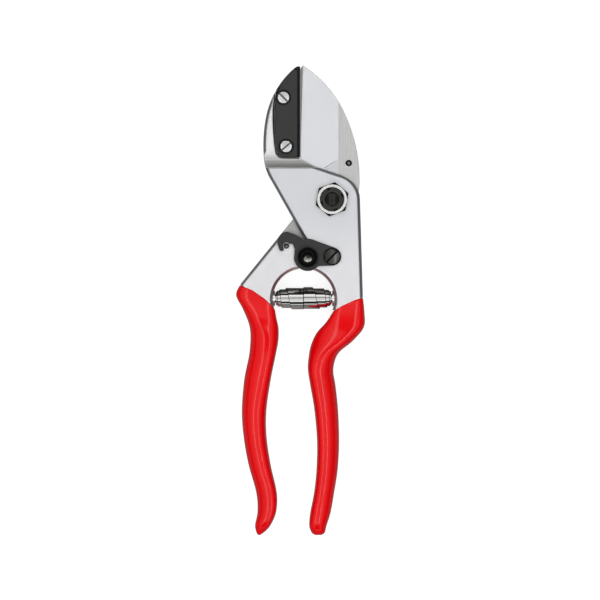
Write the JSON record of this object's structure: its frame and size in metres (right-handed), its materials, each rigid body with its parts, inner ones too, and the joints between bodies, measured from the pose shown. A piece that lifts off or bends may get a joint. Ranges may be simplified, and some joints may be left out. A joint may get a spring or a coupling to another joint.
{
  "type": "pruning shears",
  "caption": "One-hand anvil pruning shears with forged handles, a ground blade that closes on a screwed-on anvil, dipped grips, a volute spring and a hooked catch.",
  "frame": {"origin": "pivot axis at the back face of the pivot bolt's head, on which the shears lie", "axes": "+Z out of the front face along the pivot axis, +Y towards the blade's tip, +X to the blade's side"},
  "size_m": [0.0574, 0.2101, 0.0218],
  "materials": {
    "forged_aluminium": "bead-blasted satin",
    "ground_steel": "ground along the blade",
    "plated_steel": "bright plated",
    "blackened_steel": "phosphate black",
    "black_anodised": "satin black anodised",
    "red_dip": "glossy dipped vinyl"
  },
  "bodies": {
    "anvil_side": {"anvil_handle": "forged_aluminium", "anvil_handle_grip": "red_dip", "anvil": "black_anodised", "anvil_screw_upper": "plated_steel", "anvil_screw_lower": "plated_steel", "pivot_bolt": "blackened_steel", "pivot_nut": "plated_steel", "nut_lock_ring": "blackened_steel", "thrust_washer": "plated_steel", "spring_seat_right": "plated_steel", "return_spring": "plated_steel", "catch_bush": "plated_steel", "catch_screw": "blackened_steel", "catch_wave_washer": "plated_steel"},
    "blade_side": {"blade_handle": "forged_aluminium", "blade_handle_grip": "red_dip", "cutting_blade": "ground_steel", "blade_pin": "plated_steel", "pivot_bush": "plated_steel", "latch_pin": "plated_steel", "spring_seat_left": "plated_steel"},
    "catch": {"catch_lever": "black_anodised", "catch_knob": "blackened_steel", "catch_knob_rivet": "blackened_steel"}
  },
  "joints": [
    {"name": "blade_pivot", "type": "hinge", "parent": "anvil_side", "child": "blade_side", "pos_m": [0, 0, 0.009], "axis": [0, 0, -1], "range_deg": [0, 32], "deforming": ["return_spring"]},
    {"name": "catch_swing", "type": "hinge", "parent": "anvil_side", "child": "catch", "pos_m": [0, -0.0255, 0.0165], "axis": [0, 0, -1], "range_deg": [0, 24]}
  ]
}
